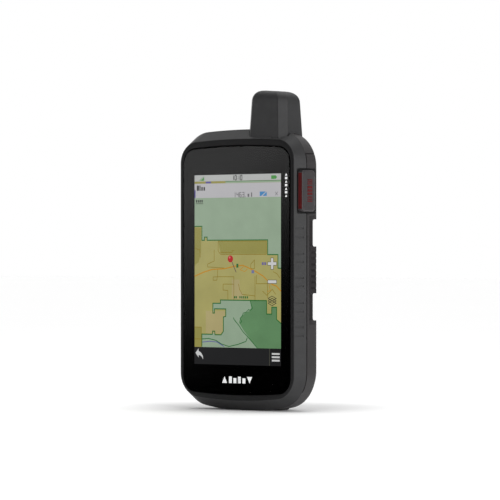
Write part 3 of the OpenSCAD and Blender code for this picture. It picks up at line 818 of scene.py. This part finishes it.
def make_label_print():
    """Plain bars and stripes on the rating label, where its small print would be."""
    left = LABEL_X[0] + 3.0
    low = LABEL_Z[0] + 2.0
    bars = [(left, left + 14.0, 75.0, 77.0)]
    for row in range(5):
        top = 72.4 - row * 2.4
        bars.append((left, left + 33.0 - row % 3 * 5.0, top - 1.0, top))
    x = left
    for i in range(24):
        width = 0.35 + 0.35 * (i * 7 % 3)
        bars.append((x, x + width, low, low + 5.0))
        x += width + 0.5
    depth = (PACK_BACK - 0.14, PACK_BACK - 0.06)
    piece, *others = [block("label_print", (x0, x1), depth, (z0, z1), MASK) for x0, x1, z0, z1 in bars]
    for other in others:
        join(piece, other)
    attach(piece, "pack")


# The lit picture


class Sketch:
    """Flat coloured shapes in one mesh, each layer a little in front of the last."""

    def __init__(self, name, y):
        self.name = name
        self.y = y
        self.bm = bmesh.new()
        self.materials = []
        self.layer = 0

    def area(self, outline, material):
        if material not in self.materials:
            self.materials.append(material)
        self.layer += 1
        y = self.y - self.layer * 0.0012
        spots = [self.bm.verts.new(Vector((x, y, z)) * MM) for x, z in outline]
        face = self.bm.faces.new(spots)
        face.normal_update()
        if face.normal.y > 0:
            face.normal_flip()
        face.material_index = self.materials.index(material)

    def box(self, x0, x1, z0, z1, material):
        self.area([(x0, z0), (x1, z0), (x1, z1), (x0, z1)], material)

    def line(self, spots, width, material):
        """A band along the spots, with mitred joints."""
        left, right = [], []
        for i, (x, z) in enumerate(spots):
            directions = []
            for a, b in ((i - 1, i), (i, i + 1)):
                if a >= 0 and b < len(spots):
                    step = Vector(spots[b]) - Vector(spots[a])
                    directions.append(step.normalized())
            mean = sum(directions, Vector((0, 0))).normalized()
            normal = Vector((-mean.y, mean.x))
            spread = width / 2 / max(0.4, mean.dot(directions[0]))
            left.append((x + normal.x * spread, z + normal.y * spread))
            right.append((x - normal.x * spread, z - normal.y * spread))
        self.area(left + right[::-1], material)

    def disc(self, x, z, r, material, sides=28):
        self.area(circle(x, z, r, sides), material)

    def object(self):
        bmesh.ops.triangulate(self.bm, faces=self.bm.faces)
        return add_object(self.name, self.bm, *self.materials)


# Strokes of each figure: t top, m middle, b bottom, l and r left, u and v right, c centre
FIGURES = {"0": "tblurv", "1": "c", "3": "tumvb", "4": "lumv", "6": "tlmrvb"}


def figure(sketch, character, x, z, width, height, stroke, material):
    """One digit in straight strokes, its lower left corner at x, z."""
    middle, top, right = z + height / 2, z + height, x + width
    centre = x + width / 2
    strokes = {
        "c": [(centre, z), (centre, top)],
        "t": [(x, top), (right, top)],
        "m": [(x, middle), (right, middle)],
        "b": [(x, z), (right, z)],
        "l": [(x, middle), (x, top)],
        "u": [(right, middle), (right, top)],
        "r": [(x, z), (x, middle)],
        "v": [(right, z), (right, middle)],
    }
    for key in FIGURES[character]:
        sketch.line(strokes[key], stroke, material)


# The colours of the picture
MEADOW = lit("map_meadow", colour(144, 163, 140), spread=0.06)
FOREST = lit("map_forest", colour(96, 134, 94), spread=0.10)
FIELD = lit("map_field", colour(164, 157, 98), spread=0.07)
SAND = lit("map_sand", colour(170, 158, 112), spread=0.05)
OLIVE = lit("map_olive", colour(146, 140, 76), spread=0.05)
BOUNDARY = lit("map_boundary", colour(48, 106, 56))
PARCEL = lit("map_parcel_line", colour(138, 118, 40))
ROAD = lit("map_road", colour(184, 132, 44))
NEEDLE = lit("pin_needle", colour(98, 84, 78))
OUTLINE = lit("key_outline", colour(84, 84, 72))
STREAM = lit("map_stream", colour(112, 116, 150))
STATUS = lit("status_bar", colour(177, 178, 176), spread=0.02)
PANEL = lit("info_panel", colour(180, 178, 181), spread=0.02)
INK = lit("dark_ink", colour(44, 44, 42))
GREY = lit("grey_ink", colour(104, 102, 104))
BLUE = lit("blue_ink", colour(70, 130, 180))
GREEN = lit("green_ink", colour(70, 140, 66))
PALE = lit("pale_ink", colour(200, 200, 200))
TOOLBAR = lit("tool_bar", colour(37, 37, 38), spread=0.03)
TOOLCELL = lit("tool_cell", colour(33, 33, 34), spread=0.03)
PIN = lit("pin_red", colour(176, 38, 40))
SHINE = lit("pin_shine", colour(214, 110, 110))
VIOLET = lit("violet_ink", colour(92, 84, 150))


def draw_map(s):
    """Open land, fields, woodland and roads of an invented place, with a marker pin."""
    x0, x1, z0, z1 = PICTURE
    s.box(x0, x1, z0, z1, MEADOW)
    # fields
    north = [(x0, 104.9), (-27, 104.9), (-27, 96.9), (-25, 96.9), (-25, 98.7), (-23, 98.7), (-23, 96.9),
             (22.6, 96.9), (22.6, 88.6), (30.2, 88.6), (30.2, 81), (x1, 80.8)]
    west = [(-27, 43), (-19, 43), (-18.8, 44.8), (-17.2, 44.8), (-17, 42.8), (-12.4, 42.8), (-10.6, 44.8),
            (-10.6, 53), (-8.8, 53.4), (-8.8, 57.6), (-17.4, 57.6), (-17.4, 55.2), (-18.6, 55.2),
            (-18.6, 60.8), (-12.8, 60.8), (-12.8, 62.7)]
    east = [(21.8, 62.6), (21.8, 55), (25.6, 55), (25.6, 58.9), (29.2, 58.9), (29.2, 52), (x1 - 0.1, 49.8)]
    s.area(north + east[::-1] + west[::-1] + [(x0, 47)], FIELD)
    s.area([(-14.6, 96.3), (22, 96.3), (22, 89), (-12.6, 89)], OLIVE)
    s.area([(x0, 47), (-27.2, 47), (-27.2, TOOLBAR_TOP), (x0, TOOLBAR_TOP)], OLIVE)
    s.area([(x0, 104.3), (-27.6, 104.3), (-27.6, 90.4), (-29.4, 84.4), (x0, 82.4)], OLIVE)
    s.area([(-24, 56.4), (-9.4, 56.4), (-9.4, 53.4), (-11.2, 52.8), (-11.2, 45), (-13, 43.4),
            (-24, 43.6)], SAND)
    s.area([(-4.2, 74.4), (1.6, 74.4), (2, 68.4), (4.4, 66.2), (4.4, 63.2), (-4.2, 63.2)], SAND)
    # woodland
    stream_side = [(x1, TOOLBAR_TOP), (14.6, TOOLBAR_TOP), (4.6, 45.6), (1.2, 50), (2.2, 52.6), (5.8, 55.6),
                   (9, 56.6), (10.4, 58.4)]
    s.area([(9.4, 62.6)] + east + stream_side, FOREST)
    # boundaries
    s.line(north, 0.62, BOUNDARY)
    s.line([(-27, 35.8)] + west + east, 0.62, BOUNDARY)
    s.line([(9.4, 62.6), (10.6, 59.8), (11.4, 58.2), (9.6, 57), (8.4, 57.4), (6.4, 55.8), (4.4, 55.4),
            (3.6, 53.8), (2, 52.4), (3.2, 50.6), (2, 49.4)], 0.42, BOUNDARY)
    s.line([(-3, 52.8), (-2.6, 51.8), (1, 48.4), (4.2, 44.8), (9.8, 40.2), (14.8, 35.8)], 0.5, BOUNDARY)
    s.line([(-26.8, 40.2), (-22, 40.6), (-16.4, 39.6), (-12.2, 37.6), (-6.4, 36.2), (0.4, 37.5), (6.4, 39.3),
            (7.4, 41.4)], 0.5, BOUNDARY)
    s.line([(-26.6, 38.4), (-21, 39), (-15.4, 38.6), (-10, 36.1)], 0.42, VIOLET)
    # parcels
    for spots in (
        [(-14.6, 96.3), (-14.6, 90.7), (-12.6, 88.7), (21.6, 88.7), (21.6, 96.3), (-14.6, 96.3)],
        [(-13, 89.9), (-4, 89.9), (-4, 90.9), (-2.4, 90.9)],
        [(-17.6, 91.4), (-17.6, 85), (-22.6, 83.2), (-22.6, 81.6), (-10, 81)],
        [(10, 80.8), (10, 83.2), (12.8, 85.6), (12.8, 80.6), (10, 80.8)],
        [(-15, 80.2), (-15, 76), (-18.4, 75.8), (-18.4, 74), (-15.6, 74), (-15.2, 76), (-2.7, 76),
         (-2.7, 63)],
        [(-10.8, 71.8), (-10.8, 68.4), (-7.2, 68.2), (-7.2, 63)],
        [(-10.8, 71.8), (-3, 71.8)],
        [(0.8, 72), (1.6, 68.8), (3.6, 66), (13, 65.2)],
        [(13.2, 76.4), (13.2, 63)],
        [(14.4, 77), (14.2, 72.1), (22.3, 72.2)],
        [(22.4, 72.8), (22.6, 64)],
        [(18.8, 68), (22, 65.6), (26, 69), (28.6, 66.2)],
        [(26.6, 79), (29.6, 77.8), (31.6, 75.4)],
        [(x0, 92.4), (-28.6, 91.4), (-28.2, 87)],
        [(x0, 47), (-27.5, 47), (-27.5, 35.8)],
        [(x0, 40.2), (-27.5, 40.2)],
    ):
        s.line(spots, 0.36, PARCEL)
    road_spots = [(x0, 76.2), (-25.6, 78.6), (-19, 80.2), (-9.6, 80.6), (-1.4, 82.1), (4, 82.5), (7.6, 81.4),
                  (13.8, 79), (19, 76.6), (22.8, 73.7), (26, 71.7), (29, 70.9), (x1, 67.9)]
    s.line(road_spots, 0.7, ROAD)
    s.line([(4.6, 81.8), (2, 80), (5.6, 79), (7.6, 80.5)], 0.36, ROAD)
    s.line([(23.2, 73.2), (24.6, 68.4), (22.4, 67.6)], 0.36, ROAD)
    s.box(10.6, 12.6, 78, 79.8, STREAM)
    s.box(-0.8, 0.8, 81.2, 83.4, BOUNDARY)
    # marker pin
    s.line([(-4.6, 85.4), (-0.9, 78.5)], 0.5, NEEDLE)
    s.disc(-5.3, 86.2, 2, PIN)
    s.disc(-5.8, 87, 0.6, SHINE)


def draw_panels(s):
    """The status bar, the strip under it, and the information panel with plain bars for words."""
    x0, x1, _, z1 = PICTURE
    s.box(x0, x1, STATUS_LOW, z1, STATUS)
    s.box(x0, x1, STRIP_LOW, STATUS_LOW, OLIVE)
    s.box(-24, -20, 129.5, 130.6, VIOLET)
    s.box(-9, x1, 129.5, 130.35, MEADOW)
    s.box(-9, x1, 130.35, 130.65, BOUNDARY)
    s.box(x0, x1, PANEL_LOW, STRIP_LOW, PANEL)
    s.box(x0, x0 + 0.8, 121.3, 125.8, VIOLET)
    s.area([(-29.1, 131.1), (-25.2, 131.1), (-25.2, 133.8)], GREEN)
    s.line([(-28.2, 131.1), (-25.2, 133.4)], 0.3, STATUS)
    for left, character in zip((-3.5, -1.9, 0.7, 2.3), "1010"):
        figure(s, character, left, 131.2, 1.2, 2.5, 0.46, INK)
    s.box(-0.3, 0.1, 131.6, 132, INK)
    s.box(-0.3, 0.1, 132.7, 133.1, INK)
    s.box(25.3, 28.8, 131.3, 133.3, GREEN)
    s.box(28.8, 29.4, 131.8, 132.8, GREEN)
    base = 125.4
    for left, width, height in ((-30.8, 1.6, 3), (-28.8, 0.8, 3), (-27.4, 1.1, 2.1), (-25.7, 1.1, 2.1)):
        s.box(left, left + width, base, base + height, INK)
    for left, character in zip((-2.3, -0.4, 1.7, 3.8), "1463"):
        figure(s, character, left, 121.4, 1.3, 2.6, 0.42, GREY)
    s.box(5.7, 6.2, 121.3, 121.8, GREY)
    s.box(7.7, 9, 121.4, 123.2, GREY)
    s.box(10.3, 11.1, 121.4, 123.9, GREY)
    s.area([(16.8, 121.8), (17.9, 121.8), (21.4, 124.3), (16.8, 124.3)], BLUE)
    s.area([(22, 121.8), (22, 124.2), (18.9, 121.8)], BLUE)
    s.line([(28.3, 122), (30.2, 124)], 0.3, GREY)
    s.line([(28.3, 124), (30.2, 122)], 0.3, GREY)
    s.box(-31.7, -26, 117.8, 118.1, INK)
    for left in (-31.5, -30, -28.6, -27.2):
        s.box(left, left + 0.9, 118.6, 120.1, INK)


def draw_keys(s):
    """The zoom and layer keys over the map, a greeked place name, and the tool bar."""
    x0, x1, z0, _ = PICTURE
    s.box(22.6, 29.4, 82.4, 84.6, OUTLINE)
    s.box(24.9, 27.1, 80.1, 86.9, OUTLINE)
    s.box(22.9, 29.1, 82.7, 84.3, PALE)
    s.box(25.2, 26.8, 80.4, 86.6, PALE)
    s.box(22.6, 29.4, 72.2, 74.4, OUTLINE)
    s.box(22.9, 29.1, 72.5, 74.1, PALE)
    for left in (18.4, 19.6, 20.8):
        s.box(left, left + 0.8, 82.7, 84.3, VIOLET)
    for z in (61.2, 62.5, 63.8):
        s.line([(23, z), (26, z - 1.4), (29, z), (26, z + 1.4), (23, z)], 0.36, INK)
    for left in (-2.4, -1.2, 1.6, 3, 4.4, 5.8, 7.2):
        s.box(left, left + 0.9, 63.7, 65, BOUNDARY)
    s.box(x0, x1, z0, TOOLBAR_TOP, TOOLBAR)
    s.box(24.2, x1, z0, TOOLBAR_TOP, TOOLCELL)
    s.box(24, 24.3, z0, TOOLBAR_TOP, OUTLINE)
    for low in (32.1, 30.25, 28.35):
        s.box(25.8, 31.6, low, low + 1, PALE)
    s.area([(-31.8, 32.2), (-29.4, 34.8), (-29.4, 33.3), (-27.6, 32.4), (-26.2, 30.6), (-25.9, 28.4),
            (-27, 30), (-28.2, 30.8), (-29.4, 31), (-29.4, 29.5)], PALE)


def make_picture():
    """The display module: the lit picture on its slab."""
    s = Sketch("screen_picture", -15.16)
    draw_map(s)
    draw_panels(s)
    draw_keys(s)
    piece = s.object()
    slab = block("slab", (-33.6, 33.6), (-15.14, -13.02), (21.4, 139), DARK, 0.3, 2)
    join(piece, slab)
    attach(piece, "unit")
    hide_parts("lcd_panel", "touch_sensor")


def make_prints():
    """White printing behind the glass: a plain row of marks and a small scale, with no lettering. The print
    glows a little, though it is no lamp: painted light.
    """
    s = Sketch("glass_printing", -15.405)
    base, top = 15.4, 19.2
    left, right = 35.6, 37.3
    s.area([(-11.4, base), (-7.6, base), (-9.5, top)], PRINT_GLOW)
    for i in range(4):
        s.box(-6.2 + i * 3.4, -4 + i * 3.4, base, top - 0.9 * (i % 2), PRINT_GLOW)
    s.area([(7.4, top), (11.2, top), (9.3, base)], PRINT_GLOW)
    for i in range(7):
        z = 121 + i * 2
        if i % 2:
            s.box(left, right, z, z + 1.3, PRINT_GLOW)
        else:
            s.area([(left, z), (right, z), ((left + right) / 2, z + 1.4)], PRINT_GLOW)
    piece = s.object()
    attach(piece, "unit")


# CAD nodes that keep their own shape


def dress(name, material, bevel=0.12):
    """Gives a CAD node its material and softened edges."""
    piece = nodes[name]
    piece.data.materials.clear()
    piece.data.materials.append(material)
    for face in piece.data.polygons:
        face.use_smooth = True
    weld = piece.modifiers.new("weld", "WELD")
    weld.merge_threshold = 0.000002
    if bevel:
        edges = piece.modifiers.new("edges", "BEVEL")
        edges.width = bevel * MM
        edges.segments = 2
        edges.limit_method = "ANGLE"
        edges.angle_limit = math.radians(35)
        edges.harden_normals = True


DRESSED = {
    "lens_mask": (MASK, 0),
    "lens_gasket": (FOAM, 0),
    "backlight_unit": (WHITE, 0.1),
    "display_frame": (ALLOY, 0.1),
    "display_flex": (FLEX, 0),
    "housing_seal": (SILICONE, 0.1),
    "main_board": (CIRCUIT, 0.05),
    "processor_chips": (CHIP, 0.08),
    "shield_cans": (TIN, 0.06),
    "board_screws": (STEEL, 0.08),
    "housing_screws": (BLACK_STEEL, 0.08),
    "antenna_seal": (SILICONE, 0.1),
    "antenna_board": (CIRCUIT, 0.05),
    "gnss_helix": (CERAMIC, 0.08),
    "satcom_helix": (CERAMIC, 0.08),
    "antenna_coax": (DARK, 0.08),
    "speaker": (DARK, 0.2),
    "vent_membrane": (WHITE, 0.05),
    "vibration_motor": (TIN, 0.15),
    "sos_hinge_pin": (STEEL, 0.05),
    "sos_button": (RED, 0.2),
    "sos_switch": (TIN, 0.1),
    "power_button": (CAP, 0.9),
    "power_switch": (TIN, 0.1),
    "usb_port": (TIN, 0.08),
    "usb_cap": (RUBBER, 0.35),
    "contact_block": (DARK, 0.15),
    "contact_pins": (GOLD, 0.2),
    "dock_contacts": (GOLD, 0.2),
    "card_holder": (TIN, 0.1),
    "memory_card": (CHIP, 0.1),
    "battery_lid": (REAR, 0.15),
    "battery_seal": (SILICONE, 0.12),
    "battery_cells": (CELL, 0.8),
    "battery_board": (CIRCUIT, 0.05),
    "battery_pads": (GOLD, 0.1),
    "rating_label": (LABEL, 0),
    "latch_barrel": (STEEL, 0.15),
    "latch_o_ring": (RUBBER, 0.1),
    "d_ring": (STEEL, 0),
}

make_front()
make_rear()
make_pod()
make_glass()
make_antenna()
make_cap()
make_cap_marks()
make_pack()
make_label_print()
make_picture()
make_prints()
for node_name, (finish, edge_radius) in DRESSED.items():
    dress(node_name, finish, edge_radius)


# Studio


FLOOR = 12.0
CARD_PLACE = 0.2


def sheet(name, corners, z, material):
    """One flat face."""
    bm = bmesh.new()
    for x, y in corners:
        bm.verts.new((x, y, z))
    bm.faces.new(bm.verts)
    return add_object(name, bm, material)


def make_floor():
    """A pale floor that glows more a little way out from the object, so that the floor near it stays darker:
    a painted contact shadow, centred a little behind the object, over the real one.
    """
    m = Nodes("pale_floor_painted_shadow")
    m.link(m.ramp(m.noise(3), (0.93, 0.93, 0.93, 1), (0.95, 0.95, 0.95, 1)), m.shader.inputs["Base Color"])
    m.shader.inputs["Roughness"].default_value = 0.9
    m.shader.inputs["Specular IOR Level"].default_value = 0.0
    m.shader.inputs["Emission Color"].default_value = (1, 1, 1, 1)
    # The glow grows with the distance from a point a little behind the object: painted light on the floor
    # round a painted contact shadow.
    place = m.add("ShaderNodeTexCoord")
    away = m.add("ShaderNodeVectorMath", operation="DISTANCE")
    away.inputs[1].default_value = (-0.02, 0.023, 0)
    m.link(place.outputs["Object"], away.inputs[0])
    painted_shadow_lift = m.add("ShaderNodeMapRange", interpolation_type="SMOOTHSTEP")
    painted_shadow_lift.inputs["From Min"].default_value = 0.03
    painted_shadow_lift.inputs["From Max"].default_value = 0.1
    painted_shadow_lift.inputs["To Max"].default_value = 0.36
    m.link(away.outputs["Value"], painted_shadow_lift.inputs["Value"])
    m.link(painted_shadow_lift.outputs["Result"], m.shader.inputs["Emission Strength"])
    corners = ((-FLOOR, -FLOOR), (FLOOR, -FLOOR), (FLOOR, FLOOR), (-FLOOR, FLOOR))
    sheet("floor", corners, -0.00005, m.material)


def make_card():
    """A sloped card on the front left that only the glass sees: dark low down, paler at its top left."""
    away = Vector((-math.sin(AZIMUTH), -math.cos(AZIMUTH), 0))
    across = Vector((away.y, -away.x, 0))
    up = (away + Vector((0, 0, 1))).normalized()
    face = across.cross(up)
    m = Nodes("card_fade")
    place = m.add("ShaderNodeTexCoord")
    turn = m.add("ShaderNodeVectorMath", operation="DOT_PRODUCT")
    turn.inputs[1].default_value = (1.03, 1.0, 0.0)
    m.link(place.outputs["Object"], turn.inputs[0])
    spread = m.add("ShaderNodeMapRange")
    spread.inputs["From Max"].default_value = 0.25
    m.link(turn.outputs["Value"], spread.inputs["Value"])
    ramp = m.add("ShaderNodeValToRGB")
    middle = ((0.13, 0.015), (0.26, 0.075), (0.41, 0.24), (0.6, 0.6), (0.8, 0.92))
    grey_stops(ramp, (0.0, 0.0), (1.0, 0.95), *middle)
    m.link(spread.outputs["Result"], ramp.inputs["Fac"])
    m.glow(ramp.outputs["Color"])
    card = sheet("card", ((-0.35, 0.0), (0.35, 0.0), (0.35, 0.5), (-0.35, 0.5)), 0, m.material)
    card.visible_camera = False
    turned = Matrix((across, up, face)).transposed().to_4x4()
    card.matrix_world = Matrix.Translation(away * CARD_PLACE) @ turned


def place_light(data, place, direction):
    light = bpy.data.objects.new(data.name, data)
    bpy.context.scene.collection.objects.link(light)
    light.location = place
    light.rotation_mode = "QUATERNION"
    light.rotation_quaternion = direction.to_track_quat("-Z", "Y")


def make_lights():
    """A broad soft sun from above, and a soft key light on the right."""
    sun = bpy.data.lights.new("top_soft", "SUN")
    sun.energy = 1.05
    sun.angle = math.radians(60)
    place_light(sun, (0, 0, 0), Vector((0.0, -0.1, -1.0)))
    key = bpy.data.lights.new("key_soft", "AREA")
    key.size = 0.9
    key.energy = 11
    spot = Vector((1.5, -0.62, 0.5))
    place_light(key, spot, Vector((0, 0, 0.09)) - spot)


def make_world():
    """A pale studio, brightest behind the object and dim on the camera's side."""
    world = bpy.data.worlds.new("studio")
    bpy.context.scene.world = world
    world.use_nodes = True
    tree = world.node_tree
    sky = tree.nodes["Background"]
    place = tree.nodes.new("ShaderNodeTexCoord")
    side = tree.nodes.new("ShaderNodeVectorMath")
    side.operation = "DOT_PRODUCT"
    side.inputs[1].default_value = (-math.sin(AZIMUTH), math.cos(AZIMUTH), 0)
    spread = tree.nodes.new("ShaderNodeMapRange")
    spread.inputs["From Min"].default_value = -1
    ramp = tree.nodes.new("ShaderNodeValToRGB")
    grey_stops(ramp, (0.0, 0.12), (0.9, 1.0), (0.35, 0.12), (0.58, 0.2), (0.75, 0.65))
    tree.links.new(place.outputs["Generated"], side.inputs[0])
    tree.links.new(side.outputs["Value"], spread.inputs["Value"])
    tree.links.new(spread.outputs["Result"], ramp.inputs["Fac"])
    tree.links.new(ramp.outputs["Color"], sky.inputs["Color"])


make_world()
make_floor()
make_card()
make_lights()
bpy.context.scene.view_settings.view_transform = "Standard"
